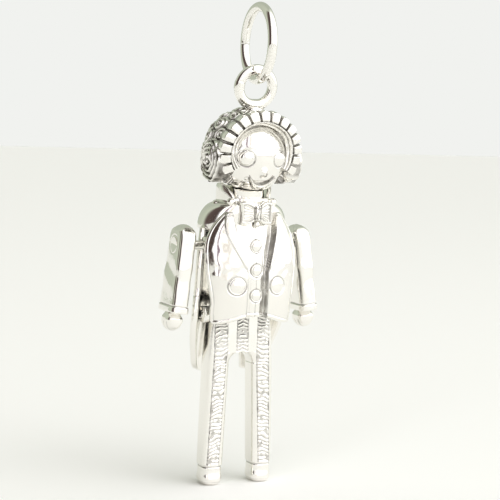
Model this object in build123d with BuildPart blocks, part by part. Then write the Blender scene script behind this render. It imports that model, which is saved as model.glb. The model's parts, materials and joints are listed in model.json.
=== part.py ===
from build123d import *
import os
from math import cos, radians, sin

os.makedirs("parts", exist_ok=True)

# A cast silver charm of a ventriloquist's dummy in tails and striped trousers. Millimetres, +Z up, the
# figure faces -Y, and its own right hand is at -X. The origin is the inside top of the jump ring,
# where a bracelet or chain link carries it. The head leans forward on its pin, as the charm lies.

# ---- driving dimensions -------------------------------------------------------------------------
ring_outer = 6.0            # jump ring, over the wire
ring_wire = 0.7
ring_turn = 3.0             # degrees that the ring is turned from square to the loop
ring_saw_cut = 0.05
loop_outer = 3.4            # soldered loop on the head
loop_wire = 0.75
loop_post_radius = 0.55
hanging_gap = 0.03          # between the two wires where they hang on each other
running_gap = 0.03          # radial, between a pin and a bore that turns on it
soldered_lip = 0.1          # how far a small piece is let into what it is soldered to

head_tilt = 10.0            # degrees forward, at rest
loop_rise = 8.8             # neck pin to the centre of the loop, along the head
head_rise = 3.85            # neck pin to the middle of the head
shoulder_drop = 3.05        # neck pin to the shoulder shaft
torso_length = 5.15         # shoulder shaft to the hip pin
leg_length = 12.85          # hip pin to the soles
limb_setback = 0.2          # arms and legs stand this far behind the neck

head_radius = 2.7
head_half_height = 2.85
head_forward = 0.2          # the head's middle is this far in front of the neck
neck_radius = 1.35
neck_below_pin = 0.85
eye_radius = 0.55
eye_spacing = 2.68
eye_raise = 0.15            # above the middle of the head
eye_sunk = 0.17
hair_thickness = 0.65       # outside the head
hairline_forward = 1.5      # the hair's front face, in front of the neck
nape_drop = 1.9
fringe_lap = 0.45           # how far the fringe covers the head's edge
fringe_width = 0.8
fringe_depth = 0.7
fringe_raise = 0.6          # centre of the fringe above the middle of the head
fringe_arc = 250.0
scallop_radius = 0.4
scallop_count = 15
curl_radius = 1.5
curl_thickness = 1.15
curl_forward = 0.6
curl_drop = 0.5
curl_groove = 0.18

neck_pin_radius = 0.25
neck_pin_proud = 0.2        # how far each end of the pin stands out of the collar
collar_outer = 2.05
collar_inner = 1.75
collar_rim_rise = 0.55      # rim in front and behind, above the neck pin
cheek_radius = 1.75         # the collar's side cheeks are round about the neck pin
cheek_gap = 0.08
bore_depth = 1.35           # neck bore below the neck pin
yoke_drop = 1.75            # foot of the yoke below the neck pin
yoke_half_width = 3.3
yoke_half_depth = 2.2

coat_thickness = 0.55
plate_spare = 0.2           # how far the plates' side view runs on below their outlines
chest_drop = 1.8            # fullest place of the coat front, below the shaft
waist_rise = 0.6            # slimmest place of the coat back, above the hip pin
coat_top_drop = 0.45        # top edge of the coat front, below the neck pin
belly_radius = 5.97
front_hem_radius = 5.7
front_top_radius = 5.12
front_axis_back = 2.62      # the front plate's axis, behind the limbs
back_thickness = 0.5
back_axis_forward = 1.84    # the back plate's axis, in front of the limbs
back_top_radius = 3.98
back_waist_radius = 4.2
tail_tip_radius = 4.75
hem_drop = 0.6              # lowest point of the front hem, below the hip pin
hem_rise = 0.5              # the hem's arch at the middle
hem_corner_rise = 0.1
front_hem_half_width = 3.5
front_waist_half_width = 3.42
front_waist_rise = 0.9      # the waist, above the hip pin
front_chest_half_width = 3.85
front_chest_drop = 0.9      # the chest and the shoulder, below and above the shaft
front_shoulder_half_width = 3.6
front_top_half_width = 2.3
back_tip_half_width = 2.3
back_tail_half_width = 3.35
back_tail_rise = 1.6        # above the tips
back_hip_half_width = 3.85
back_hip_drop = 0.5         # below the hip pin
back_chest_half_width = 3.55
back_chest_drop = 1.6       # below the shaft
back_yoke_half_width = 3.1
tail_split_rise = 2.6       # top of the split, above the crotch
tail_split_slope = 1.0
tail_split_spread = 0.3
tail_drop = 4.65            # tips of the tails, below the hip pin
tail_split_half = 1.1
lapel_height = 0.16
lapel_top_half_width = 1.75
lapel_tip_half_width = 0.75
lapel_width = 0.9
lapel_tip_width = 0.25
lapel_top_drop = 0.25       # below the top edge of the coat front
lapel_notch_rise = 0.6      # widest place, above the shaft
lapel_drop = 2.0            # lower tip, below the shaft
shirt_button_radius = 0.43
shirt_button_height = 0.2
coat_button_radius = 0.65
coat_button_x = 1.6
coat_button_drop = 2.8      # below the shaft
shirt_button_top = 0.1      # above the shaft
shirt_button_pitch = 1.8
bow_width = 2.5
bow_height = 1.65
bow_knot_height = 0.95
bow_depth = 0.5
bow_knot_width = 0.7
bow_corner = 0.1            # how far each tip of the bow is cut back
bow_point = 0.15            # point under the knot
bow_drop = 0.5

shaft_radius = 0.35
shaft_head_radius = 0.62
shaft_head_depth = 0.27
hip_pin_radius = 0.3
hip_pin_length = 6.3
lug_radius = 0.65
lug_thickness = 0.5
hip_lug_x = 2.75
shoulder_lug_x = 2.8

arm_x = 4.75                # middle of the sleeve at the shaft
arm_splay = 6.7             # degrees outward
arm_thickness = 1.35
sleeve_top_radius = 1.3
sleeve_top_rise = 1.55      # above the shaft
sleeve_length = 4.95        # shaft to cuff
cuff_width = 3.1
hand_width = 1.9
hand_thickness = 1.35
hand_length = 1.45
hand_roundness = 0.42       # share of the thickness

leg_depth = 1.85
crotch_height = 10.0
shoe_roundness = 0.35       # shares of the shoe's width
shoe_toe_roundness = 0.3
trouser_hem = 1.5           # above the soles
hip_half_width = 2.35
knee_half_width = 2.6
cuff_half_width = 2.8
crotch_half_width = 0.95
hem_inner_half_width = 1.27
hip_top_radius = 0.95
hip_shoulder = 0.15         # step in the trousers' width beside the hip barrel
crotch_arch = 0.9           # height of the round of the crotch

# ---- places, worked out from the sizes above ----------------------------------------------------
ring_radius = (ring_outer - ring_wire) / 2
loop_radius = (loop_outer - loop_wire) / 2
tilt_sin, tilt_cos = sin(radians(head_tilt)), cos(radians(head_tilt))
ring_z = -(ring_radius - ring_wire / 2)
contact_z = ring_z - ring_radius
loop_top_z = contact_z + (ring_wire + loop_wire) / 2 + hanging_gap
neck_y = (loop_radius + loop_rise) * tilt_sin
neck_z = loop_top_z - (loop_radius + loop_rise) * tilt_cos
limb_y = neck_y + limb_setback
shoulder_z = neck_z - shoulder_drop
hip_z = shoulder_z - torso_length
sole_z = hip_z - leg_length
collar_rim_z = neck_z + collar_rim_rise
yoke_z = neck_z - yoke_drop
coat_top_z = neck_z - coat_top_drop
hem_z = hip_z - hem_drop
belly_z = shoulder_z - chest_drop

hair_radius = head_radius + hair_thickness
fringe_inner = head_radius - fringe_lap
fringe_outer = fringe_inner + fringe_width
curl_inner_x = head_radius - soldered_lip
curl_outer_x = curl_inner_x + curl_thickness

# The head's own frame: its origin is the neck pin, its Z runs up the leaning head.
head_frame = Plane(origin=(0, neck_y, neck_z), x_dir=(1, 0, 0), z_dir=(0, -tilt_sin, tilt_cos))
face_plane = Plane(origin=(0, neck_y, neck_z), x_dir=(1, 0, 0), z_dir=(0, -tilt_cos, -tilt_sin))
# Upright drawing planes: X across and Z up, with the normal towards the viewer of the face.
coat_plane = Plane(origin=(0, limb_y, 0), x_dir=(1, 0, 0), z_dir=(0, -1, 0))
front_axis = Axis((0, limb_y + front_axis_back, 0), (0, 0, 1))
back_axis = Axis((0, limb_y - back_axis_forward, 0), (0, 0, 1))


def on_head(x, y, z):
    """A place on the head, in the head's own frame."""
    return head_frame.location * Location((x, y, z))


def save(piece, name):
    """Label one finished piece and write it."""
    piece.part.label = name
    export_step(piece.part, f"parts/{name}.step")


# ---- the two rings ------------------------------------------------------------------------------
turn_sin, turn_cos = sin(radians(ring_turn)), cos(radians(ring_turn))
ring_plane = Plane(origin=(0, 0, ring_z), x_dir=(0, 0, 1), z_dir=(turn_cos, -turn_sin, 0))
with BuildPart(ring_plane) as jump_ring:
    Torus(ring_radius, ring_wire / 2)
    with Locations((0, ring_radius, 0)):
        Box(ring_saw_cut, 2 * ring_wire, 2 * ring_wire, mode=Mode.SUBTRACT)
save(jump_ring, "jump_ring")

# ---- head ---------------------------------------------------------------------------------------
head_plane = face_plane.offset(head_forward)
head_axis = Axis(head_plane.origin, head_frame.z_dir)
with BuildPart() as head:
    with BuildSketch(head_plane):
        with Locations((0, head_rise)):
            Ellipse(head_radius, head_half_height)
            Rectangle(
                2 * head_radius,
                2 * head_half_height,
                align=(Align.MAX, Align.CENTER),
                mode=Mode.SUBTRACT,
            )
    revolve(axis=head_axis)
    with Locations(on_head(0, 0, 0)):
        Cylinder(
            cheek_radius + cheek_gap, 2 * head_radius, rotation=(0, 90, 0), mode=Mode.SUBTRACT
        )
    with Locations(on_head(0, 0, -neck_below_pin)):
        Cylinder(
            neck_radius,
            neck_below_pin + head_rise,
            align=(Align.CENTER, Align.CENTER, Align.MIN),
        )
    with Locations(on_head(0, 0, 0)):
        Cylinder(
            neck_pin_radius + running_gap,
            2 * head_radius,
            rotation=(0, 90, 0),
            mode=Mode.SUBTRACT,
        )
save(head, "head")

with BuildPart() as eyes:
    eye_y = -head_forward - (head_radius**2 - (eye_spacing / 2) ** 2) ** 0.5 + eye_sunk
    with Locations(
        on_head(-eye_spacing / 2, eye_y, head_rise + eye_raise),
        on_head(eye_spacing / 2, eye_y, head_rise + eye_raise),
    ):
        Sphere(eye_radius)
    add(head.part, mode=Mode.SUBTRACT)
save(eyes, "eyes")

with BuildPart() as head_loop:
    post_foot = head_rise + head_half_height - soldered_lip
    with Locations(on_head(0, 0, loop_rise)):
        Torus(loop_radius, loop_wire / 2, rotation=(90, 0, 0))
    with Locations(on_head(0, -head_forward / 2, post_foot)):
        Cylinder(
            loop_post_radius,
            loop_rise - loop_radius - post_foot,
            align=(Align.CENTER, Align.CENTER, Align.MIN),
        )
    add(head.part, mode=Mode.SUBTRACT)
save(head_loop, "head_loop")

with BuildPart() as hair_cap:
    with Locations(on_head(0, 0, head_rise)):
        Sphere(hair_radius)
    with Locations(on_head(0, -hairline_forward, head_rise)):
        Box(
            3 * hair_radius,
            2 * hair_radius,
            3 * hair_radius,
            align=(Align.CENTER, Align.MAX, Align.CENTER),
            mode=Mode.SUBTRACT,
        )
    with Locations(on_head(0, 0, head_rise - nape_drop)):
        Box(
            3 * hair_radius,
            3 * hair_radius,
            2 * hair_radius,
            align=(Align.CENTER, Align.CENTER, Align.MAX),
            mode=Mode.SUBTRACT,
        )
    add(head.part, mode=Mode.SUBTRACT)
    add(head_loop.part, mode=Mode.SUBTRACT)
save(hair_cap, "hair_cap")

with BuildPart() as hair_fringe:
    with BuildSketch(face_plane.offset(hairline_forward)):
        with Locations((0, head_rise + fringe_raise)):
            Circle(fringe_outer)
            with PolarLocations(
                fringe_outer - scallop_radius / 4,
                scallop_count,
                start_angle=90 - fringe_arc / 2,
                angular_range=fringe_arc,
                endpoint=True,
            ):
                Circle(scallop_radius)
            Circle(fringe_inner, mode=Mode.SUBTRACT)
        open_half = radians((360 - fringe_arc) / 2)
        reach = 2 * fringe_outer
        with BuildLine():
            Polyline(
                (0, head_rise + fringe_raise),
                (-reach * sin(open_half), head_rise + fringe_raise - reach * cos(open_half)),
                (reach * sin(open_half), head_rise + fringe_raise - reach * cos(open_half)),
                close=True,
            )
        make_face(mode=Mode.SUBTRACT)
    extrude(amount=fringe_depth)
    add(head.part, mode=Mode.SUBTRACT)
save(hair_fringe, "hair_fringe")


def side_curl(side):
    """Flat rolled curl over one ear, let in against the head, the cap and the fringe."""
    with BuildPart() as curl:
        with Locations(on_head(side * curl_inner_x, -curl_forward, head_rise - curl_drop)):
            Cylinder(
                curl_radius,
                curl_thickness,
                rotation=(0, side * 90, 0),
                align=(Align.CENTER, Align.CENTER, Align.MIN),
            )
        with Locations(on_head(side * curl_outer_x, -curl_forward, head_rise - curl_drop)):
            for groove_radius in (curl_radius * 0.72, curl_radius * 0.36):
                Torus(groove_radius, curl_groove, rotation=(0, 90, 0), mode=Mode.SUBTRACT)
        for neighbour in (head, hair_cap, hair_fringe):
            add(neighbour.part, mode=Mode.SUBTRACT)
    return curl


save(side_curl(-1), "side_curl_right")
save(side_curl(1), "side_curl_left")

# ---- coat ---------------------------------------------------------------------------------------


def plate_space(axis, points, inner_offset, outer_offset):
    """Ring of space about an upright axis, between two offsets of one curved side view."""
    with BuildPart() as space:
        with BuildSketch(Plane(origin=axis.position, x_dir=(1, 0, 0), z_dir=(0, -1, 0))):
            with BuildLine():
                outer = ThreePointArc(*[(radius + outer_offset, z) for radius, z in points])
                inner = ThreePointArc(*[(radius + inner_offset, z) for radius, z in points])
                Line(outer @ 0, inner @ 0)
                Line(outer @ 1, inner @ 1)
            make_face()
        revolve(axis=axis)
    return space


front_curve = [
    (front_hem_radius, hem_z - plate_spare),
    (belly_radius, belly_z),
    (front_top_radius, coat_top_z),
]
with BuildPart() as coat_front:
    add(plate_space(front_axis, front_curve, -coat_thickness, 0).part)
    with BuildSketch(coat_plane):
        with BuildLine():
            side = Spline(
                (front_hem_half_width, hem_z + hem_corner_rise),
                (front_waist_half_width, hip_z + front_waist_rise),
                (front_chest_half_width, shoulder_z - front_chest_drop),
                (front_shoulder_half_width, shoulder_z + front_chest_drop),
                (front_top_half_width, coat_top_z),
            )
            Line(side @ 1, (0, coat_top_z))
            Line((0, coat_top_z), (0, hem_z + hem_rise))
            Polyline(
                (0, hem_z + hem_rise),
                (tail_split_half, hem_z + hem_rise - hem_corner_rise),
                side @ 0,
            )
        make_face()
        mirror(about=Plane.YZ)
    extrude(amount=2 * belly_radius, mode=Mode.INTERSECT)
    with Locations((0, neck_y, neck_z - bore_depth)):
        Cylinder(
            collar_inner,
            2 * bore_depth,
            align=(Align.CENTER, Align.CENTER, Align.MIN),
            mode=Mode.SUBTRACT,
        )
save(coat_front, "coat_front")

with BuildPart() as collar_cheeks:
    with Locations((0, neck_y, neck_z)):
        Cylinder(collar_outer, cheek_radius, align=(Align.CENTER, Align.CENTER, Align.MIN))
        Cylinder(cheek_radius, 2 * collar_outer, rotation=(0, 90, 0), mode=Mode.INTERSECT)

with BuildPart() as shoulder_yoke:
    with BuildSketch(Plane(origin=(0, limb_y, yoke_z))):
        Ellipse(yoke_half_width, yoke_half_depth)
    with BuildSketch(Plane(origin=(0, neck_y, collar_rim_z))):
        Circle(collar_outer)
    loft()
    add(collar_cheeks.part)
    add(
        plate_space(front_axis, front_curve, -coat_thickness, front_axis_back).part,
        mode=Mode.SUBTRACT,
    )
    with Locations((0, neck_y, neck_z - bore_depth)):
        Cylinder(
            collar_inner,
            bore_depth + cheek_radius + cheek_gap,
            align=(Align.CENTER, Align.CENTER, Align.MIN),
            mode=Mode.SUBTRACT,
        )
    with Locations((0, neck_y, neck_z)):
        Cylinder(neck_pin_radius, 3 * collar_outer, rotation=(0, 90, 0), mode=Mode.SUBTRACT)
save(shoulder_yoke, "shoulder_yoke")

tail_tip_z = hip_z - tail_drop
split_z = sole_z + crotch_height + tail_split_rise
back_curve = [
    (tail_tip_radius, tail_tip_z - plate_spare),
    (back_waist_radius, hip_z + waist_rise),
    (back_top_radius, yoke_z),
]
with BuildPart() as coat_back:
    add(plate_space(back_axis, back_curve, -back_thickness, 0).part)
    with BuildSketch(coat_plane):
        with BuildLine():
            tail = Spline(
                (back_tip_half_width, tail_tip_z),
                (back_tail_half_width, tail_tip_z + back_tail_rise),
                (back_hip_half_width, hip_z - back_hip_drop),
                (back_chest_half_width, shoulder_z - back_chest_drop),
                (back_yoke_half_width, yoke_z),
            )
            Line(tail @ 1, (0, yoke_z))
            Polyline(
                (0, yoke_z),
                (0, split_z),
                (tail_split_half, split_z - tail_split_slope),
                (tail_split_half + tail_split_spread, tail_tip_z),
                tail @ 0,
            )
        make_face()
        mirror(about=Plane.YZ)
    extrude(amount=-2 * back_waist_radius, mode=Mode.INTERSECT)


def lug_pair(lug_x, z, bore_radius):
    """Two ears that carry a pin across the coat: round about the pin, running back to the plate."""
    with BuildPart() as lugs:
        with Locations((-lug_x, limb_y, z), (lug_x, limb_y, z)):
            Cylinder(lug_radius, lug_thickness, rotation=(0, 90, 0))
            Box(
                lug_thickness,
                back_waist_radius,
                2 * lug_radius,
                align=(Align.CENTER, Align.MIN, Align.CENTER),
            )
            Cylinder(bore_radius, 2 * lug_thickness, rotation=(0, 90, 0), mode=Mode.SUBTRACT)
        outside = plate_space(back_axis, back_curve, -back_thickness, back_waist_radius)
        add(outside.part, mode=Mode.SUBTRACT)
    return lugs


hip_lugs = lug_pair(hip_lug_x, hip_z, hip_pin_radius)
shoulder_lugs = lug_pair(shoulder_lug_x, shoulder_z, shaft_radius)
with BuildPart() as coat_back_whole:
    add(coat_back.part)
    add(hip_lugs.part)
    add(shoulder_lugs.part)
    with Locations((0, limb_y, shoulder_z)):
        Cylinder(shaft_radius, 3 * arm_x, rotation=(0, 90, 0), mode=Mode.SUBTRACT)
    with Locations((0, limb_y, hip_z)):
        Cylinder(hip_pin_radius, 3 * arm_x, rotation=(0, 90, 0), mode=Mode.SUBTRACT)
save(coat_back_whole, "coat_back")

with BuildPart() as lapels:
    add(plate_space(front_axis, front_curve, 0, lapel_height).part)
    with BuildSketch(coat_plane):
        with BuildLine():
            Polyline(
                (lapel_top_half_width + lapel_width / 2, coat_top_z - lapel_top_drop),
                (lapel_top_half_width + lapel_width, shoulder_z + lapel_notch_rise),
                (lapel_tip_half_width + lapel_tip_width, shoulder_z - lapel_drop),
                (lapel_tip_half_width, shoulder_z - lapel_drop + lapel_tip_width),
                (lapel_top_half_width, coat_top_z - lapel_top_drop),
                close=True,
            )
        make_face()
        mirror(about=Plane.YZ)
    extrude(amount=2 * belly_radius, mode=Mode.INTERSECT)
save(lapels, "lapels")

bow_z = neck_z - bow_drop
bow_plane = Plane(
    origin=(0, neck_y - collar_outer + bow_depth, bow_z), x_dir=(1, 0, 0), z_dir=(0, -1, 0)
)
with BuildPart() as bow_tie:
    with BuildSketch(bow_plane):
        with BuildLine():
            Polyline(
                (0, bow_knot_height / 2),
                (bow_knot_width / 2, bow_knot_height / 2 - bow_corner),
                (bow_width / 2 - bow_corner, bow_height / 2),
                (bow_width / 2, 0),
                (bow_width / 2 - bow_corner, -bow_height / 2),
                (bow_knot_width / 2, -bow_knot_height / 2 + bow_corner),
                (0, -bow_knot_height / 2 - bow_point),
                close=True,
            )
        make_face()
        mirror(about=Plane.YZ)
    extrude(amount=2 * bow_depth)
    with BuildSketch(bow_plane):
        RectangleRounded(bow_knot_width, bow_knot_height, bow_knot_width / 3)
    extrude(amount=2 * bow_depth + bow_corner)
    add(shoulder_yoke.part, mode=Mode.SUBTRACT)
    add(plate_space(front_axis, front_curve, -belly_radius / 2, 0).part, mode=Mode.SUBTRACT)
    add(lapels.part, mode=Mode.SUBTRACT)
    with Locations((0, neck_y, neck_z)):
        Cylinder(collar_inner, 4 * bore_depth, mode=Mode.SUBTRACT)
save(bow_tie, "bow_tie")


def buttons(places, radius, height):
    """Round buttons standing off the coat front, let into it by the soldered lip."""
    with BuildPart() as discs:
        add(plate_space(front_axis, front_curve, -soldered_lip, height).part)
        with BuildSketch(coat_plane):
            with Locations(*places):
                Circle(radius)
        extrude(amount=2 * belly_radius, mode=Mode.INTERSECT)
        add(coat_front.part, mode=Mode.SUBTRACT)
    return discs


shirt_places = [(0, shoulder_z + shirt_button_top - i * shirt_button_pitch) for i in range(3)]
coat_places = [(side * coat_button_x, shoulder_z - coat_button_drop) for side in (-1, 1)]
save(buttons(shirt_places, shirt_button_radius, shirt_button_height), "shirt_buttons")
save(buttons(coat_places, coat_button_radius, shirt_button_height), "coat_buttons")

# ---- pins and shaft -----------------------------------------------------------------------------
with BuildPart() as neck_pin:
    with Locations((0, neck_y, neck_z)):
        Cylinder(neck_pin_radius, 2 * (collar_outer + neck_pin_proud), rotation=(0, 90, 0))
    fillet(neck_pin.edges().filter_by(GeomType.CIRCLE), neck_pin_radius * 0.8)
save(neck_pin, "neck_pin")

with BuildPart() as hip_pin:
    with Locations((0, limb_y, hip_z)):
        Cylinder(hip_pin_radius, hip_pin_length, rotation=(0, 90, 0))
save(hip_pin, "hip_pin")


def shaft_profile(radius, gap):
    """Half of the shoulder shaft from its middle out: plain, then spread into a countersunk end."""
    outer_x = arm_x + arm_thickness / 2
    with BuildPart() as shaft:
        with BuildSketch(Plane(origin=(0, limb_y, shoulder_z))):
            with BuildLine():
                Polyline(
                    (0, 0),
                    (0, radius),
                    (outer_x - shaft_head_depth, radius),
                    (outer_x + gap, shaft_head_radius + gap),
                    (outer_x + gap, 0),
                    close=True,
                )
            make_face()
            mirror(about=Plane.YZ)
        revolve(axis=Axis((0, limb_y, shoulder_z), (1, 0, 0)))
    return shaft


save(shaft_profile(shaft_radius, 0), "shoulder_shaft")
shaft_clearance = shaft_profile(shaft_radius + running_gap, running_gap)

# ---- arms ---------------------------------------------------------------------------------------


def arm_plane(side):
    """Plane along one arm: its X is the object's Y, its Y runs up the splayed arm."""
    splay = radians(arm_splay)
    return Plane(
        origin=(side * arm_x, limb_y, shoulder_z),
        x_dir=(0, 1, 0),
        z_dir=(side * cos(splay), 0, sin(splay)),
    )


def sleeve(side):
    up = side                # the plane's Y runs down on the -X side
    with BuildPart() as piece:
        with BuildSketch(arm_plane(side)):
            with BuildLine():
                crown = ThreePointArc(
                    (-sleeve_top_radius, up * (sleeve_top_rise - sleeve_top_radius)),
                    (0, up * sleeve_top_rise),
                    (sleeve_top_radius, up * (sleeve_top_rise - sleeve_top_radius)),
                )
                Polyline(
                    crown @ 1,
                    (cuff_width / 2, -up * sleeve_length),
                    (-cuff_width / 2, -up * sleeve_length),
                    crown @ 0,
                )
            make_face()
        extrude(amount=arm_thickness / 2, both=True)
        outer = piece.faces().sort_by(Axis.X)[-1 if side > 0 else 0]
        fillet(outer.edges(), arm_thickness / 4)
        add(shaft_clearance.part, mode=Mode.SUBTRACT)
    return piece


def hand(side, arm):
    middle = Location((0, -side * (sleeve_length + hand_length / 2 - soldered_lip), 0))
    with BuildPart() as piece:
        with Locations(arm_plane(side).location * middle):
            Box(hand_width, hand_length, hand_thickness)
        fillet(piece.edges(), hand_thickness * hand_roundness)
        add(arm.part, mode=Mode.SUBTRACT)
    return piece


for side, name in ((-1, "right"), (1, "left")):
    arm = sleeve(side)
    save(arm, f"arm_{name}")
    save(hand(side, arm), f"hand_{name}")

# ---- legs ---------------------------------------------------------------------------------------
crotch_z = sole_z + crotch_height
trouser_hem_z = sole_z + trouser_hem
with BuildPart() as legs:
    with BuildSketch(coat_plane):
        with BuildLine():
            Polyline(
                (0, hip_z + hip_top_radius),
                (hip_half_width - hip_shoulder, hip_z + hip_top_radius),
                (hip_half_width, hip_z),
                (knee_half_width, crotch_z),
                (cuff_half_width, trouser_hem_z),
                (hem_inner_half_width, trouser_hem_z),
                (crotch_half_width, crotch_z - crotch_arch),
            )
            ThreePointArc(
                (crotch_half_width, crotch_z - crotch_arch),
                (crotch_half_width * sin(radians(45)), crotch_z - crotch_arch * (1 - cos(radians(45)))),
                (0, crotch_z),
            )
            Line((0, crotch_z), (0, hip_z + hip_top_radius))
        make_face()
        mirror(about=Plane.YZ)
    extrude(amount=leg_depth / 2, both=True)
    outer_sides = legs.faces().sort_by(Axis.X)
    fillet(outer_sides[0].edges().filter_by(Axis.Y, reverse=True), leg_depth / 6)
    outer_sides = legs.faces().sort_by(Axis.X)
    fillet(outer_sides[-1].edges().filter_by(Axis.Y, reverse=True), leg_depth / 6)
    with Locations((0, limb_y, hip_z)):
        Box(
            3 * hip_half_width,
            2 * leg_depth,
            2 * hip_top_radius,
            align=(Align.CENTER, Align.CENTER, Align.MIN),
            mode=Mode.SUBTRACT,
        )
        Cylinder(hip_top_radius, 2 * (hip_half_width - hip_shoulder), rotation=(0, 90, 0))
        Cylinder(
            hip_pin_radius + running_gap,
            3 * hip_half_width,
            rotation=(0, 90, 0),
            mode=Mode.SUBTRACT,
        )
save(legs, "legs")

shoe_x = (cuff_half_width + hem_inner_half_width) / 2
shoe_width = cuff_half_width - hem_inner_half_width - soldered_lip
with BuildPart() as shoes:
    with Locations((-shoe_x, limb_y, sole_z), (shoe_x, limb_y, sole_z)):
        Box(
            shoe_width,
            leg_depth,
            trouser_hem + soldered_lip,
            align=(Align.CENTER, Align.CENTER, Align.MIN),
        )
    fillet(shoes.edges().filter_by(Axis.Z), shoe_width * shoe_roundness)
    fillet(shoes.faces().group_by(Axis.Z)[0].edges(), shoe_width * shoe_toe_roundness)
    add(legs.part, mode=Mode.SUBTRACT)
save(shoes, "shoes")
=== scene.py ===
"""Finished look of a cast silver charm of a ventriloquist's dummy, laid over its CAD frame.

Shapes are worked out in millimetres and turned to metres as each mesh is made. The figure faces -Y.
"""

import json
import math

import bmesh
import bpy
import numpy as np
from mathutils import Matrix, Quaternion, Vector


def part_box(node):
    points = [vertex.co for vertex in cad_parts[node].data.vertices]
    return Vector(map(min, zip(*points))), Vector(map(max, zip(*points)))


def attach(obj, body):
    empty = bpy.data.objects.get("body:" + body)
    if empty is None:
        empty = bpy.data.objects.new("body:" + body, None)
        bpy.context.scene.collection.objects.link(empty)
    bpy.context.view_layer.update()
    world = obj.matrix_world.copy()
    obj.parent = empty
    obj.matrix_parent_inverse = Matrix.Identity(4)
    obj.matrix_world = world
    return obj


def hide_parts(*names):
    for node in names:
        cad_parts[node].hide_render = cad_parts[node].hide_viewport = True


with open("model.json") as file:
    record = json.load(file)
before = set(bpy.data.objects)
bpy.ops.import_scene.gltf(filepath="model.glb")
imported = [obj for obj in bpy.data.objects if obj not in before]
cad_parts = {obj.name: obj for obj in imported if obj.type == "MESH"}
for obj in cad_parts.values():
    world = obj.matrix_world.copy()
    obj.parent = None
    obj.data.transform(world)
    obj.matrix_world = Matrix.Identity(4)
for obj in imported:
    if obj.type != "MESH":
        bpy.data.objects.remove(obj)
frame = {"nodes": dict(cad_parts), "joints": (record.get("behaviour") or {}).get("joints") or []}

bl_info = {
    "name": "Silver Dummy Charm",
    "version": (1, 0, 0),
    "blender": (4, 5, 0),
    "location": "3D View > Sidebar > Charm",
    "description": "Casts, curls, knurls and polishes a small jointed silver figure",
    "category": "Object",
}

MM = 0.001
JOINT = {j["name"]: np.array(j["pos_m"]) / MM for j in frame["joints"]}
NECK = JOINT["head_nod"]
NECK_Y, NECK_Z = NECK[1:]
SHOULDER_Z = JOINT["arm_left_turn"][2]
LIMB_Y, HIP_Z = JOINT["leg_swing"][1:]      # the shoulders stand straight over the hips
CONTACT = JOINT["figure_swing"]
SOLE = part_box("shoes")[0].z / MM
HEAD_RISE = 3.85            # neck pin to the middle of the head
HEAD_RADIUS, HEAD_HALF_HEIGHT, HEAD_FORWARD = 2.7, 2.85, 0.2
CHIN_HALF_HEIGHT = 2.92     # the face runs lower than the back of the skull
EYE_X, EYE_RISE = 1.34, 0.15
LOOP_RISE = 8.8             # neck pin to the middle of the soldered loop
CHEEK_RADIUS = 1.57         # the collar's high sides, round the neck pin
PIN_RADIUS, PIN_HEAD_X = 0.25, 2.2
SLEEVE_HALF = 0.675         # half the thickness of a sleeve
ARM_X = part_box("shoulder_shaft")[1].x / MM - SLEEVE_HALF
FRONT_AXIS_BACK, BACK_AXIS_FORWARD = 2.62, 1.84   # the coat plates' upright axes, from the limbs


# ---- sizes and colours that a user would change --------------------------------------------------
def length(label, note, millimetres):
    """A length that the panel shows in the scene's units, from its default in millimetres."""
    return bpy.props.FloatProperty(
        name=label, description=note, default=millimetres * MM, unit="LENGTH", precision=5
    )


class CharmSizes(bpy.types.PropertyGroup):
    """Sizes of the charm that can be changed without leaving its CAD frame"""

    head_tilt: bpy.props.FloatProperty(
        name="Head Tilt", description="How far the head leans forward", default=math.radians(10),
        subtype="ANGLE", unit="ROTATION",
    )
    ring_outer: length("Jump Ring", "Width of the jump ring over its wire", 6.0)
    ring_wire: length("Jump Ring Wire", "Thickness of the jump ring's wire", 0.7)
    loop_outer: length("Head Loop", "Width of the soldered loop over its wire", 3.4)
    loop_wire: length("Head Loop Wire", "Thickness of the loop's wire", 0.75)
    eye_radius: length("Eye", "Radius of one domed eye", 0.5)
    curl_size: length("Curl", "Radius of one snail curl of the back hair", 0.72)
    knurl_pitch: length("Knurl Pitch", "Distance between two cuts of the trouser stripes", 0.3)
    arm_splay: bpy.props.FloatProperty(
        name="Arm Splay", description="How far each arm leans outward", default=math.radians(6.7),
        subtype="ANGLE", unit="ROTATION",
    )
    scallops: bpy.props.IntProperty(
        name="Scallops", description="Locks of hair round the face", default=15, min=3
    )


class SilverFinish(bpy.types.PropertyGroup):
    """How bright and how rough the silver is, and the colour of its oxide and painted shade"""

    polished: bpy.props.StringProperty(
        name="Polished Silver", description="Hex colour of bright sterling silver", default="#F5F3EE"
    )
    # Colour of old polish and sulphide, which also paints shade into the recesses, grooves and outlines.
    oxide_and_painted_shade: bpy.props.StringProperty(
        name="Oxide and Painted Shade", description="Hex colour of old polish and sulphide in the recesses",
        default="#4B453C",
    )
    roughness: bpy.props.FloatProperty(
        name="Roughness", description="Roughness of the tumbled surface", default=0.11,
        min=0, max=1, subtype="FACTOR",
    )


class StudioView(bpy.types.PropertyGroup):
    """Where the camera stands, and the floor"""

    azimuth: bpy.props.FloatProperty(
        name="Azimuth", description="Where the camera stands round the figure",
        default=math.radians(-25), subtype="ANGLE", unit="ROTATION",
    )
    elevation: bpy.props.FloatProperty(
        name="Elevation", description="Camera height above the figure's middle",
        default=math.radians(5), subtype="ANGLE", unit="ROTATION",
    )
    roll: bpy.props.FloatProperty(
        name="Roll", description="Camera roll", default=math.radians(1.9),
        subtype="ANGLE", unit="ROTATION",
    )
    distance: length("Distance", "Camera to the middle of the figure", 113.8)
    lens: bpy.props.FloatProperty(
        name="Lens", description="Focal length", default=110, subtype="DISTANCE_CAMERA", unit="CAMERA"
    )
    floor: bpy.props.StringProperty(
        name="Floor", description="Hex colour of the paper floor", default="#FBFAF8"
    )


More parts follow.
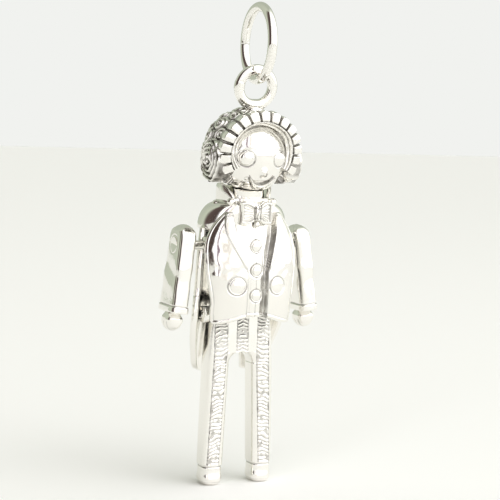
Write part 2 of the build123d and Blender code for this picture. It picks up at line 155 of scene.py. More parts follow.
# ---- small tools for shapes ----------------------------------------------------------------------
def ease(value, low, high):
    """0 below low, 1 above high, and a smooth S between."""
    t = np.clip((np.asarray(value, float) - low) / (high - low), 0, 1)
    return t * t * (3 - 2 * t)


def bead(distance, half):
    """Half-round ridge of height 1 and the given half width."""
    return np.sqrt(np.clip(1 - (np.asarray(distance, float) / half) ** 2, 0, 1))


def rounded(edge, width):
    """How far a rounded rim has fallen away: 0 further in than width, 1 at the very edge."""
    return 1 - bead(np.minimum(edge, width) - width, width)


def hump(distance, width):
    """Soft bell of height 1."""
    return np.exp(-((np.asarray(distance, float) / width) ** 2))


def full_turn(count):
    """Angles round a whole turn."""
    return np.linspace(0, math.tau, count, endpoint=False)


def crowded_ends(count):
    """Shares from 0 to 1, closer together towards both ends."""
    return 0.5 - 0.5 * np.cos(np.linspace(0, 1, count) * math.pi)


def crowded_sides(count, crowding):
    """Shares from -1 to 1, closer together towards both ends."""
    share = np.sin(np.linspace(-1, 1, count) * math.pi / 2 * crowding)
    return share / share.max()


def smooth_line(points):
    """Curve through (place, value) points, as a function of place."""
    at, value = np.array(sorted(points), float).T
    slope = np.gradient(value, at)

    def line(z):
        z = np.clip(z, at[0], at[-1])
        k = np.clip(np.searchsorted(at, z) - 1, 0, len(at) - 2)
        span = at[k + 1] - at[k]
        t = (z - at[k]) / span
        return (
            (2 * t**3 - 3 * t**2 + 1) * value[k]
            + (t**3 - 2 * t**2 + t) * span * slope[k]
            + (3 * t**2 - 2 * t**3) * value[k + 1]
            + (t**3 - t**2) * span * slope[k + 1]
        )

    return line


def ripple(a, b, size, seed=0.0):
    """Uneven surface of a hand-finished casting, about -1 to 1, with bumps of the given size."""
    k = math.tau / size
    return (
        np.sin(k * a + 1.3 * np.sin(k * 0.61 * b + seed) + seed)
        + np.sin(k * 0.83 * b - 1.1 * np.sin(k * 0.47 * a + 2 * seed) + 1.7)
        + 0.6 * np.sin(k * 0.37 * (a + b) + 3 * seed)
    ) / 2.6


def grid_faces(rows, cols, wrap=False, start=0):
    """Quads of a grid of points, row by row."""
    r = np.arange(rows - 1)[:, None]
    c = np.arange(cols if wrap else cols - 1)[None, :]
    n = (c + 1) % cols
    quads = np.stack([r * cols + c, r * cols + n, (r + 1) * cols + n, (r + 1) * cols + c], -1)
    return (quads.reshape(-1, 4) + start).tolist()


def slab(front, back, recess):
    """Closed body between two grids of points that face away from each other."""
    rows, cols, _ = front.shape
    count = rows * cols
    faces = grid_faces(rows, cols)
    faces += [q[::-1] for q in grid_faces(rows, cols, start=count)]
    index = np.arange(count).reshape(rows, cols)
    rim = [*index[0, :-1], *index[:-1, -1], *index[-1, :0:-1], *index[:0:-1, 0]]
    for a, b in zip(rim, rim[1:] + rim[:1]):
        faces.append([int(b), int(a), int(a) + count, int(b) + count])
    points = np.concatenate([front.reshape(-1, 3), back.reshape(-1, 3)])
    return points, faces, np.concatenate([recess.ravel(), recess.ravel()])


def loft(rings, recess=None):
    """Closed body through rings of points, with a point in the middle of each end."""
    rows, cols, _ = rings.shape
    faces = grid_faces(rows, cols, wrap=True)
    first, last = rows * cols, rows * cols + 1
    for c in range(cols):
        n = (c + 1) % cols
        faces.append([first, n, c])
        faces.append([last, (rows - 1) * cols + c, (rows - 1) * cols + n])
    points = np.concatenate([rings.reshape(-1, 3), rings[:1].mean(1), rings[-1:].mean(1)])
    marks = np.zeros(rows * cols) if recess is None else recess.ravel()
    return points, faces, np.append(marks, [marks[0], marks[-1]])


def placed(points, origin, x_dir, y_dir, z_dir):
    """Points of a local frame, in the figure's frame."""
    return np.asarray(origin, float) + points @ np.array([x_dir, y_dir, z_dir], float)


def turned(profile, origin, direction, sides=56):
    """Round body from (radius, height) points, standing on origin along direction."""
    axis = np.array(direction, float) / np.linalg.norm(direction)
    across = np.cross(axis, (0, 0, 1) if abs(axis[2]) < 0.9 else (1, 0, 0))
    across /= np.linalg.norm(across)
    angle = full_turn(sides)
    rings = np.array([[(r * math.cos(a), r * math.sin(a), h) for a in angle] for r, h in profile])
    return loft(placed(rings, origin, across, np.cross(axis, across), axis))


def ring_body(centre, normal, radius, wire, steps, around, swelling):
    """Round wire ring. swelling(angle) is how thick the wire is there, as at a solder joint."""
    normal = np.array(normal, float) / np.linalg.norm(normal)
    up = np.cross(normal, np.cross((0, 0, 1), normal))
    up /= np.linalg.norm(up)
    side = np.cross(up, normal)
    angle = full_turn(steps)
    tube = full_turn(around)
    out = np.outer(np.cos(angle), up) + np.outer(np.sin(angle), side)
    wires = wire / 2 * swelling(angle)
    points = (
        np.array(centre)
        + out[:, None, :] * (radius + wires[:, None] * np.cos(tube)[None, :])[..., None]
        + normal * (wires[:, None] * np.sin(tube)[None, :])[..., None]
    )
    faces = grid_faces(steps, around, wrap=True)
    for c in range(around):
        n = (c + 1) % around
        faces.append([(steps - 1) * around + c, (steps - 1) * around + n, n, c])
    return points.reshape(-1, 3), faces, np.zeros(steps * around)


def add_piece(name, bodies, rides, replaced, finish):
    """One object from closed bodies of (points in mm, faces, recess marks)."""
    points, faces, marks, start = [], [], [], 0
    for body_points, body_faces, body_marks in bodies:
        points.append(body_points)
        faces += [[i + start for i in face] for face in body_faces]
        marks.append(body_marks)
        start += len(body_points)
    mesh = bpy.data.meshes.new(name)
    mesh.from_pydata((np.concatenate(points) * MM).tolist(), [], faces)
    mesh.validate()
    recess = mesh.attributes.new("recess", "FLOAT", "POINT")
    recess.data.foreach_set("value", np.concatenate(marks).astype(np.float32))
    mesh.shade_smooth()
    mesh.materials.append(finish_of(finish))
    piece = bpy.data.objects.new(name, mesh)
    bpy.context.scene.collection.objects.link(piece)
    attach(piece, rides)
    if replaced:
        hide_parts(*replaced)
    outward(piece)
    return piece


def outward(piece):
    """Turn every closed body's faces outward."""
    shape = bmesh.new()
    shape.from_mesh(piece.data)
    bmesh.ops.recalc_face_normals(shape, faces=shape.faces)
    shape.to_mesh(piece.data)
    shape.free()


# ---- materials -----------------------------------------------------------------------------------
def linear(hex_colour):
    """Linear RGBA of an sRGB hex colour."""
    channels = [int(hex_colour[i : i + 2], 16) / 255 for i in (1, 3, 5)]
    return (*[c / 12.92 if c <= 0.04045 else ((c + 0.055) / 1.055) ** 2.4 for c in channels], 1.0)


def add_node(tree, kind, links=None, **settings):
    """Add a node, set its properties and socket values, and link sockets into it."""
    node = tree.nodes.new(kind)
    for key, value in settings.items():
        if key.startswith("in_"):
            node.inputs[key[3:].replace("_", " ")].default_value = value
        elif key.startswith("socket_"):
            node.inputs[int(key[7:])].default_value = value
        else:
            setattr(node, key, value)
    for socket, source in (links or {}).items():
        tree.links.new(source, node.inputs[socket])
    return node


def silver(name, oxide_and_shade_share, roughness_step, grain_mm, grain_height_mm):
    """Polished sterling silver: a near-white metal that mirrors the studio, darkened in its recesses and
    grooves by painted shade and oxide.
    """
    finish = bpy.context.scene.silver_finish
    material = bpy.data.materials.new(name)
    material.use_nodes = True
    tree = material.node_tree
    tree.nodes.clear()
    place = add_node(tree, "ShaderNodeTexCoord").outputs["Object"]
    depth = add_node(tree, "ShaderNodeAttribute", attribute_name="recess").outputs["Fac"]
    # Clouds of wear about 1.1 mm across, and a finer grain: noise scale is one over the size in metres.
    cloud = add_node(
        tree, "ShaderNodeTexNoise", {"Vector": place},
        in_Scale=1 / (1.1 * MM), in_Detail=4.0, in_Roughness=0.6,
    ).outputs["Fac"]
    # Painted shade and oxide gather unevenly: the cloud shifts how deep a recess has to be to stay dark.
    dull = add_node(
        tree, "ShaderNodeMath", {0: depth, 1: cloud}, operation="MULTIPLY_ADD", socket_2=-0.04
    ).outputs[0]
    # How much painted shade and oxide darken the silver, from the recess marks.
    shade_and_oxide_amount = add_node(
        tree, "ShaderNodeMapRange", {"Value": dull},
        in_From_Min=0.02, in_From_Max=0.5, in_To_Min=0.0, in_To_Max=oxide_and_shade_share,
    ).outputs["Result"]
    # Sockets 6 and 7 of the Mix node are its two colours, and output 2 is the mixed one.
    colour = add_node(
        tree, "ShaderNodeMix", {0: shade_and_oxide_amount}, data_type="RGBA",
        socket_6=linear(finish.polished), socket_7=linear(finish.oxide_and_painted_shade),
    ).outputs[2]
    smooth = finish.roughness + roughness_step
    satin = add_node(
        tree, "ShaderNodeMapRange", {"Value": cloud},
        in_From_Min=0.35, in_From_Max=0.7, in_To_Min=smooth - 0.03, in_To_Max=smooth + 0.05,
    ).outputs["Result"]
    rough = add_node(
        tree, "ShaderNodeMath", {0: shade_and_oxide_amount, 2: satin}, operation="MULTIPLY_ADD", socket_1=0.35
    ).outputs[0]
    grain = add_node(
        tree, "ShaderNodeTexNoise", {"Vector": place},
        in_Scale=1 / (grain_mm * MM), in_Detail=3.0, in_Roughness=0.55,
    ).outputs["Fac"]
    bump = add_node(
        tree, "ShaderNodeBump", {"Height": grain}, in_Strength=1.0, in_Distance=grain_height_mm * MM
    ).outputs["Normal"]
    shader = add_node(
        tree, "ShaderNodeBsdfPrincipled",
        {"Base Color": colour, "Roughness": rough, "Normal": bump}, in_Metallic=1.0,
    )
    add_node(tree, "ShaderNodeOutputMaterial", {"Surface": shader.outputs[0]})
    return material


MATERIALS = {}


def finish_of(kind):
    """The charm's own finishes, made once."""
    if not MATERIALS:
        # Lost-wax castings tumbled in steel shot: bright, with a faint orange peel, and painted shade and
        # oxide in their recesses.
        MATERIALS["polished"] = silver("cast sterling silver, tumble polished", 0.75, 0.0, 0.6, 0.010)
        # The same casting, darkened in the hair's hollows by painted shade and by a grey sulphide that the
        # polish can't reach.
        MATERIALS["hair"] = silver("cast sterling silver, oxide and painted shade in the curls", 0.95, 0.05, 0.35, 0.006)
        # Stripes cut by a milling roller, then polished on their tops; painted shade and oxide darken the
        # cuts.
        MATERIALS["stripe"] = silver("cast sterling silver, roller milled", 0.8, 0.03, 0.4, 0.004)
        # Drawn wire: the smoothest surface on the charm.
        MATERIALS["wire"] = silver("drawn sterling silver wire, polished", 0.6, -0.03, 0.9, 0.003)
    return MATERIALS[kind]


def refinish(finish, *nodes):
    """Give CAD nodes that stay in sight their finish."""
    for node in nodes:
        mesh = frame["nodes"][node].data
        mesh.materials.clear()
        mesh.materials.append(finish_of(finish))


# ---- the head's own frame ------------------------------------------------------------------------
def on_head(points):
    """Points of the head's frame (from the neck pin, Z up the leaning head), in the figure's frame."""
    tilt = bpy.context.scene.charm_sizes.head_tilt
    s, c = math.sin(tilt), math.cos(tilt)
    return placed(np.asarray(points, float), NECK, (1, 0, 0), (0, c, s), (0, -s, c))


def head_direction(direction):
    """Direction of the head's frame, in the figure's frame."""
    tilt = bpy.context.scene.charm_sizes.head_tilt
    s, c = math.sin(tilt), math.cos(tilt)
    return np.asarray(direction, float) @ np.array([(1, 0, 0), (0, c, s), (0, -s, c)])


def skull(x, z, proud=0.0):
    """How far back (Y) the front of the skull is, z from the middle of the head."""
    half_height = np.where(np.asarray(z) > 0, HEAD_HALF_HEIGHT, CHIN_HALF_HEIGHT) + proud
    inside = 1 - (x / (HEAD_RADIUS + proud)) ** 2 - (z / half_height) ** 2
    return -HEAD_FORWARD - (HEAD_RADIUS + proud) * np.sqrt(np.clip(inside, 0.0004, 1))


class CHARM_OT_rings(bpy.types.Operator):
    """Bend the jump ring and the soldered head loop from round wire"""

    bl_idname = "charm.rings"
    bl_label = "Rings"

    def execute(self, context):
        sizes = context.scene.charm_sizes
        self.jump_ring(sizes.ring_outer / MM, sizes.ring_wire / MM)
        self.head_loop(sizes.loop_outer / MM, sizes.loop_wire / MM)
        return {"FINISHED"}

    def jump_ring(self, outer, wire):
        """Ring that stands across the swing axis, with the butt joint of its saw cut at one side."""
        radius, steps, around = (outer - wire) / 2, 420, 36
        swing = next(j for j in frame["joints"] if j["name"] == "figure_swing")["axis"]
        gap = math.pi / 2

        def butt_joint(angle):
            return 1 - 0.10 * hump(angle - gap, 0.012) + 0.015 * np.sin(3 * angle)

        points, faces, _ = ring_body(
            CONTACT + (0, 0, radius), (swing[1], -swing[0], 0.0), radius, wire, steps, around, butt_joint
        )
        marks = np.repeat(hump(full_turn(steps) - gap, 0.02), around)
        add_piece("jump_ring_wire", [(points, faces, marks)], "jump_ring", ["jump_ring"], "wire")

    def head_loop(self, outer, wire):
        """Loop on a short post, swollen where the solder has run round its foot."""

        def soldered(angle):
            step = ease(angle, 4.55, 4.62) * (1 - ease(angle, 4.95, 5.02))
            return 1 + 0.22 * hump(angle - math.pi, 0.45) + 0.06 * step

        loop = ring_body(
            on_head((0, 0, LOOP_RISE)), head_direction((0, -1, 0)), (outer - wire) / 2, wire, 300, 36,
            soldered,
        )
        post = turned(
            [(0.78, 0), (0.66, 0.12), (0.5, 0.3), (0.45, 0.5), (0.4, 0.62)],
            on_head((0, 0, HEAD_RISE + 3.1)), head_direction((0, 0, 1)),
        )
        add_piece("head_loop_wire", [loop, post], "head", ["head_loop"], "wire")


class CHARM_OT_face(bpy.types.Operator):
    """Model the face over the skull, with its smile, nose and domed eyes"""

    bl_idname = "charm.face"
    bl_label = "Face"

    def execute(self, context):
        self.features()
        self.eyes(context.scene.charm_sizes.eye_radius / MM)
        self.throat()
        refinish("polished", "head")
        return {"FINISHED"}

    def features(self):
        """Mask over the front of the skull, in rings out from its middle."""
        half_width, half_height, middle = 2.42, 2.66, -0.3
        mouth_half, lip_half_height = 1.04, 0.23
        rho = np.linspace(0.002, 1, 130)[:, None] ** 0.9
        angle = full_turn(340)[None, :]
        x = half_width * rho * np.cos(angle)
        z = middle + half_height * rho * np.sin(angle)
        off = np.abs(x)
        smile = -2.02 + 0.72 * (off / 0.95) ** 2
        lip_half = lip_half_height * np.sqrt(np.clip(1 - (off / mouth_half) ** 3, 0.004, 1))
        lip = bead(z - smile, lip_half) * (off < mouth_half)
        lip_line = hump(z - smile - lip_half, 0.05) + hump(z - smile + lip_half, 0.05)
        lip_line = lip_line * (off < mouth_half)
        mouth_top = -1.44 + 0.10 * x**2
        open_mouth = ease(z, smile + 0.12, smile + 0.2) * (1 - ease(z, mouth_top - 0.1, mouth_top))
        open_mouth = open_mouth * (1 - ease(off, 0.62, 0.8))
        tongue = hump(x, 0.45) * hump(z + 1.78, 0.14)
        nose = hump(x, 0.26) * hump(z + 0.8, 0.3)
        nostril = hump(off - 0.17, 0.1) * hump(z + 1.02, 0.1)
        cheek = hump(off - 1.15, 0.5) * hump(z + 1.25, 0.55)
        dimple = hump(np.hypot(off - 1.12, z + 1.36) - 0.13, 0.05)
        brow = hump(off - 1.2, 0.6) * hump(z - 1.0 + 0.15 * (off - 1.2) ** 2, 0.1)
        chin = hump(x, 0.7) * hump(z + 2.75, 0.22)
        socket = hump(np.hypot(off - EYE_X, z - EYE_RISE) - 0.58, 0.06)
        proud = (
            0.05 + 0.28 * lip - 0.15 * open_mouth * (1 - 0.6 * tongue) + 0.3 * nose + 0.05 * nostril
            + 0.10 * cheek - 0.04 * dimple + 0.04 * brow + 0.04 * chin - 0.06 * socket
            - 0.35 * ease(rho, 0.94, 1.0) - 0.08 * ease(-z, 2.4, 2.7) + 0.006 * ripple(x, z, 1.4, 0.4)
        )
        y = skull(x, z) - proud
        # Painted shade and oxide: the open mouth, eye sockets, dimples, nostrils, lip edges and brows are
        # darkened where shade falls in them.
        marks = np.clip(
            0.9 * open_mouth + 1.0 * socket + 0.4 * dimple + 0.6 * nostril + 0.85 * lip_line
            + 0.25 * brow, 0, 1
        )
        mask = loft(on_head(np.stack([x, y, z + HEAD_RISE], -1)), marks)
        mask[0][-1] = on_head((0, -1.0, HEAD_RISE))
        add_piece("face", [mask], "head", [], "polished")

    def eyes(self, radius):
        """Two domes that look a little outward."""
        seat_radius, height = radius * 1.02, 0.3
        profile = [(seat_radius, -0.25), (seat_radius, 0.0)]
        profile += [
            (radius * math.cos(a), 0.02 + height * math.sin(a))
            for a in np.linspace(0, math.pi / 2 * 0.98, 16)
        ]
        domes = []
        for side in (-1, 1):
            seat = (side * EYE_X, skull(EYE_X, EYE_RISE) + 0.05, HEAD_RISE + EYE_RISE)
            domes.append(turned(profile, on_head(seat), head_direction((side * 0.3, -0.95, 0.0))))
        add_piece("eye_domes", domes, "head", ["eyes"], "polished")

    def throat(self):
        """Neck that stays clear of the collar's wall however far the head nods."""
        profile = [
            (2.45, 2.6), (2.26, 2.2), (1.98, 1.93), (1.52, 1.75), (1.46, 1.5), (1.45, 1.15),
            (1.5, 0.85), (1.58, 0.45), (1.58, -0.45), (1.5, -0.6),
        ]
        neck = turned(profile, on_head((0, 0, 0)), head_direction((0, 0, 1)), 96)
        add_piece("throat", [neck], "head", [], "polished")


def snail_curls(direction, size, radius):
    """Height and depth marks of snail curls that cover a ball, at unit directions from its middle."""
    count = int(4 * math.pi * radius**2 / (math.pi * size**2) * 1.15)
    k = np.arange(count) + 0.5
    polar = np.arccos(1 - 2 * k / count)
    turn = math.pi * (1 + 5**0.5) * k
    centres = np.stack(
        [np.sin(polar) * np.cos(turn), np.cos(polar), np.sin(polar) * np.sin(turn)], -1
    )
    flat = direction.reshape(-1, 3)
    nearest = np.empty(len(flat), int)
    for start in range(0, len(flat), 8192):
        nearest[start : start + 8192] = np.argmax(flat[start : start + 8192] @ centres.T, 1)
    centre = centres[nearest]
    across = np.cross(centre, (0.0, 1.0, 0.02))
    across /= np.linalg.norm(across, axis=1, keepdims=True)
    along = np.cross(centre, across)
    a, b = (flat * across).sum(1) * radius, (flat * along).sum(1) * radius
    reach, angle = np.hypot(a, b), np.arctan2(b, a)
    hand = np.where(nearest % 2 == 0, 1.0, -1.0)
    wave = np.cos(math.tau * reach / (size * 0.42) - hand * angle + nearest * 1.7)
    height = 0.24 * (1 - (reach / (size * 1.25)) ** 2) + 0.075 * wave * ease(reach, 0.0, 0.12)
    # Painted shade and oxide darken the troughs of each spiral and the gaps between curls.
    marks = np.clip(0.5 - 0.5 * wave + 0.9 * ease(reach, size * 0.8, size * 1.15), 0, 1)
    return height.reshape(direction.shape[:-1]), marks.reshape(direction.shape[:-1])


class CHARM_OT_hair(bpy.types.Operator):
    """Curl the back hair, the scalloped fringe and the two side curls"""

    bl_idname = "charm.hair"
    bl_label = "Hair"

    def execute(self, context):
        sizes = context.scene.charm_sizes
        self.cap(sizes)
        self.fringe(sizes)
        for side, name in ((-1, "right"), (1, "left")):
            self.side_curl(side, name)
        return {"FINISHED"}

    def cap(self, sizes):
        """Curls over a ball, cut off straight behind the fringe and under the nape."""
        ball, front, nape = 3.2, 1.5, 1.9
        polar = np.linspace(0.004, math.acos(-front / ball), 190)[:, None]
        turn = full_turn(400)[None, :]
        direction = np.stack(
            [np.sin(polar) * np.cos(turn), np.cos(polar) + 0 * turn, np.sin(polar) * np.sin(turn)], -1
        )
        height, marks = snail_curls(direction, sizes.curl_size / MM, ball)
        points = direction * (ball + height)[..., None]
        points[..., 2] = np.maximum(points[..., 2], -nape)
        points[..., 2] += HEAD_RISE
        points[-1, :, 1] = -front
        body = loft(on_head(points), marks)
        add_piece("back_hair", [body], "head", ["hair_cap"], "hair")

    def fringe(self, sizes):
        """Locks in a fan from ear to ear, over a band of combed strands next to the brow."""
        count, sweep = sizes.scallops, math.radians(125)
        inner, band, outer = 2.0, 2.44, 3.16
        centre, widen, flatten = 0.5, 1.03, 0.97
        band_front, back = 2.3, 1.42
        turn = np.linspace(-sweep, sweep, count * 30)[:, None]
        across = np.linspace(0, 1, 72)[None, :]
        lock = np.abs(np.sin(count * (turn + sweep) / (2 * sweep) * math.pi))
        bar = ease(lock, 0.2, 0.5)
        edge = outer + 0.14 * (lock - 0.6)
        reach = inner + (edge - inner) * across
        x = reach * widen * np.sin(turn)
        z = centre + reach * flatten * np.cos(turn)
        lip_x, lip_z = inner * widen * np.sin(turn), centre + inner * flatten * np.cos(turn)
        inner_front = np.maximum(-skull(lip_x, lip_z) + 0.12, 1.5)
        band_share = (band - inner) / (outer - inner)
        strand_zone = 1 - ease(across, band_share - 0.03, band_share + 0.03)
        strands = np.abs(np.sin(math.pi * (reach - inner) / 0.22 + 0.35 * np.sin(5 * turn)))
        # The strands slope down to the brow, and the locks are rounded bars on a level band.
        front = inner_front + (band_front - inner_front) * ease(across, 0.0, band_share)
        front = front - 0.22 * ease(across, band_share, 1.0)
        front = front + 0.16 * np.sqrt(bar) * (1 - strand_zone) * bead(across - 0.66, 0.36) ** 0.6
        front = front + 0.10 * strands * strand_zone - 0.2 * (1 - bar) * (1 - strand_zone)
        front = front - 0.3 * ease(across, 0.95, 1.0) ** 2
        front = front - 0.35 * ease(np.abs(turn), sweep - 0.05, sweep)
        # Painted shade and oxide darken the gaps between locks, the grooves between strands and the line
        # where the band meets the locks.
        marks = np.clip(
            (1 - bar) * (1 - strand_zone) * 0.9 + (1 - strands) * strand_zone * 0.8
            + 0.8 * hump(reach - band, 0.05), 0, 1
        )
        outer_side = np.stack([x, -front, z + HEAD_RISE], -1)
        inner_side = np.stack([x, np.full_like(front, -back), z + HEAD_RISE], -1)
        body = slab(on_head(outer_side), on_head(inner_side), marks)
        add_piece("fringe_locks", [body], "head", ["hair_fringe"], "hair")

    def side_curl(self, side, name):
        """Spiral curl over an ear, with a rosette in its middle and petals round its rim."""
        radius, coil = 1.6, 0.34
        face_x, back_x, middle_y, middle_z = 3.22, 2.3, -0.6, HEAD_RISE - 0.42
        rho = np.linspace(0.01, 1, 72)[:, None]
        turn = full_turn(200)[None, :]
        reach = radius * rho
        wobble = 0.05 * np.sin(5 * turn + 2 * reach) + 0.03 * np.sin(8 * turn - 3 * reach)
        spiral = np.cos(math.tau * (reach + wobble * rho) / coil - side * turn)
        rosette = np.cos(4 * turn + 5 * reach) * hump(reach - 0.35, 0.3)
        between = 1 - np.abs(np.sin(7 * turn)) * ease(reach, 0.8, 1.1)
        height = (
            0.32 * np.sqrt(np.clip(1.0 - (rho * 0.98) ** 3, 0, 1)) + 0.085 * spiral
            + 0.10 * rosette - 0.05 * between * ease(reach, 0.9, 1.2)
        )
        # Painted shade and oxide darken the spiral's grooves and the notches between the petals.
        marks = np.clip(0.55 - 0.55 * spiral + 0.3 * between * ease(rho, 0.6, 0.9), 0, 1)
        edge = radius * (1 - 0.03 * between * rho)
        y = middle_y + edge * rho * np.cos(turn)
        z = middle_z + edge * rho * np.sin(turn)
        rings = np.stack([side * (face_x + height), y, z], -1)
        back = rings[-1:].copy()
        back[..., 0] = side * back_x
        body = loft(on_head(np.concatenate([rings, back])), np.concatenate([marks, marks[-1:]]))
        add_piece(f"ear_curl_{name}", [body], "head", [f"side_curl_{name}"], "hair")


# ---- coat ----------------------------------------------------------------------------------------
def plate_radius(points):
    """Radius of a coat plate about its upright axis, by height: a quadratic through three points."""
    radii, heights = np.array(points, float).T
    return np.poly1d(np.polyfit(heights, radii, 2))


FRONT_HEM = HIP_Z - 0.6
FRONT_TOP = NECK_Z - 0.45
front_radius = plate_radius(
    [(5.70, FRONT_HEM - 0.2), (5.97, SHOULDER_Z - 1.8), (5.12, FRONT_TOP)]
)
front_width = smooth_line(
    [
        (FRONT_HEM, 3.32), (HIP_Z + 0.3, 3.45), (HIP_Z + 1.2, 3.46), (HIP_Z + 2.2, 3.62),
        (SHOULDER_Z - 2.0, 3.78), (SHOULDER_Z - 1.0, 3.84), (SHOULDER_Z - 0.2, 3.84),
        (SHOULDER_Z + 0.7, 3.68), (SHOULDER_Z + 1.4, 3.36), (SHOULDER_Z + 2.0, 2.92),
        (FRONT_TOP, 2.35),
    ]
)
shirt_width = smooth_line(
    [
        (FRONT_HEM, 0.80), (HIP_Z + 2.0, 0.78), (SHOULDER_Z - 1.7, 0.82),
        (SHOULDER_Z - 0.4, 1.12), (SHOULDER_Z + 1.4, 1.60), (FRONT_TOP, 1.72),
    ]
)
lapel_width = smooth_line(
    [
        (SHOULDER_Z - 1.75, 0.0), (SHOULDER_Z - 0.9, 0.30), (SHOULDER_Z + 0.3, 0.62),
        (SHOULDER_Z + 1.4, 0.72), (FRONT_TOP, 0.45),
    ]
)
SHIRT_BUTTON_RADIUS = 0.46
SHIRT_BUTTON_HEIGHTS = [SHOULDER_Z + drop for drop in (0.1, -1.65, -3.5)]
COAT_BUTTON = (1.62, SHOULDER_Z - 2.75, 0.64)      # from the middle, height, radius


def front_point(x, z, proud):
    """Point of the coat front at width x and height z, standing proud of the plate."""
    radius = front_radius(z) + proud
    lean = np.arcsin(np.clip(x / front_radius(z), -1, 1))
    return np.stack(
        [
            radius * np.sin(lean),
            LIMB_Y + FRONT_AXIS_BACK - radius * np.cos(lean),
            z + 0 * radius,
        ],
        -1,
    )


class CHARM_OT_coat_front(bpy.types.Operator):
    """Cast the coat front with its shirt, lapels and rim, and set the buttons"""

    bl_idname = "charm.coat_front"
    bl_label = "Coat Front"

    def execute(self, context):
        self.plate()
        places = [(0, height) for height in SHIRT_BUTTON_HEIGHTS]
        self.button("shirt_button_domes", "shirt_buttons", SHIRT_BUTTON_RADIUS, 0.24, -0.42, places)
        x, z, radius = COAT_BUTTON
        self.button("coat_button_domes", "coat_buttons", radius, 0.2, -0.05, [(-x, z), (x, z)])
        return {"FINISHED"}

    def plate(self):
        """Curved plate with rolled sides: the shirt lies sunk between two lapels, and a rim runs round."""
        rows, crowding = 170, 0.35
        rolled_width, roll_depth = 0.95, 0.42
        across = crowded_sides(230, 0.93)[None, :]
        up = crowded_ends(rows)[:, None] * crowding + np.linspace(0, 1, rows)[:, None] * (1 - crowding)
        flare = np.abs(across)
        hem = FRONT_HEM + 0.66 - 0.56 * ease(flare, 0.1, 0.9) + 0.2 * ease(flare, 0.93, 1.0)
        z = hem + (FRONT_TOP - hem) * up
        x = across * front_width(z)
        size = np.abs(x)
        side_edge = front_width(z) * (1 - flare)
        edge = np.minimum(np.minimum(side_edge, (z - hem)), (FRONT_TOP - z) + 0.05)
        shirt = shirt_width(z)
        inside_shirt = 1 - ease(size, shirt - 0.035, shirt + 0.035)
        lapel_edge = shirt + lapel_width(z)
        lapel = (1 - ease(size, lapel_edge - 0.04, lapel_edge + 0.03)) * (1 - inside_shirt)
        lapel *= ease(z, SHOULDER_Z - 1.75, SHOULDER_Z - 1.6)
        seam = hump(x, 0.035) * inside_shirt
        placket = hump(size - 0.62 * np.minimum(shirt, 0.9), 0.03) * inside_shirt
        rim = bead(edge - 0.16, 0.14)
        rolled = np.clip(1 - side_edge / rolled_width, 0, 1)
        roll = roll_depth * (1 - np.sqrt(np.clip(1 - rolled**2, 0, 1)))
        proud = (
            -0.5 * inside_shirt + 0.12 * inside_shirt * (1 - (x / shirt) ** 2)
            + 0.11 * lapel - 0.05 * seam - 0.02 * placket + 0.07 * rim - roll
            - 0.16 * rounded(edge, 0.16)
            + (0.026 * ripple(x, z, 2.4, 0.7) + 0.012 * ripple(x, z, 0.9, 2.7)) * (1 - inside_shirt)
        )
        # Thin at the hem, so that the legs clear it as they swing forward.
        thick = 0.55 + 0.42 * (1 - ease(side_edge, 0.15, 0.9)) * ease(z - hem, 0.4, 1.4)
        thick -= 0.12 * rounded(edge, 0.12)
        from_button = np.hypot(size - COAT_BUTTON[0], z - COAT_BUTTON[1]) - COAT_BUTTON[2]
        outline = hump(from_button - 0.03, 0.05)
        for height in SHIRT_BUTTON_HEIGHTS:
            outline = outline + hump(np.hypot(x, z - height) - SHIRT_BUTTON_RADIUS - 0.03, 0.05)
        proud = proud - 0.04 * outline
        # Painted shade and oxide: dark outlines round the buttons, painted shadow lines along the shirt's
        # and the lapels' edges, and a shade line inside the rim.
        marks = np.clip(
            1.0 * outline + 0.9 * hump(size - shirt, 0.08) + 0.7 * seam + 0.35 * placket
            + 0.55 * hump(size - lapel_edge - 0.03, 0.05) * (lapel_width(z) > 0.1)
            + 0.45 * hump(edge - 0.33, 0.05), 0, 1
        )
        body = slab(front_point(x, z, proud), front_point(x, z, -thick), marks)
        add_piece("coat_front_cast", [body], "coat", ["coat_front", "lapels"], "polished")

    def button(self, name, node, radius, height, sunk, places):
        """Domed buttons with a turned lip, square to the coat where they stand."""
        profile = [
            (radius, -0.2), (radius, 0.07), (radius * 0.97, 0.1), (radius * 0.9, 0.11),
            (radius * 0.86, 0.085),
        ]
        profile += [
            (radius * 0.82 * math.cos(a), 0.09 + (height - 0.09) * math.sin(a))
            for a in np.linspace(0, math.pi / 2 * 0.98, 14)
        ]
        domes = []
        for x, z in places:
            seat = front_point(np.array(x), np.array(z), sunk)
            out = front_point(np.array(x), np.array(z), 1.0) - seat
            domes.append(turned(profile, seat, out))
        add_piece(name, domes, "coat", [node], "polished")


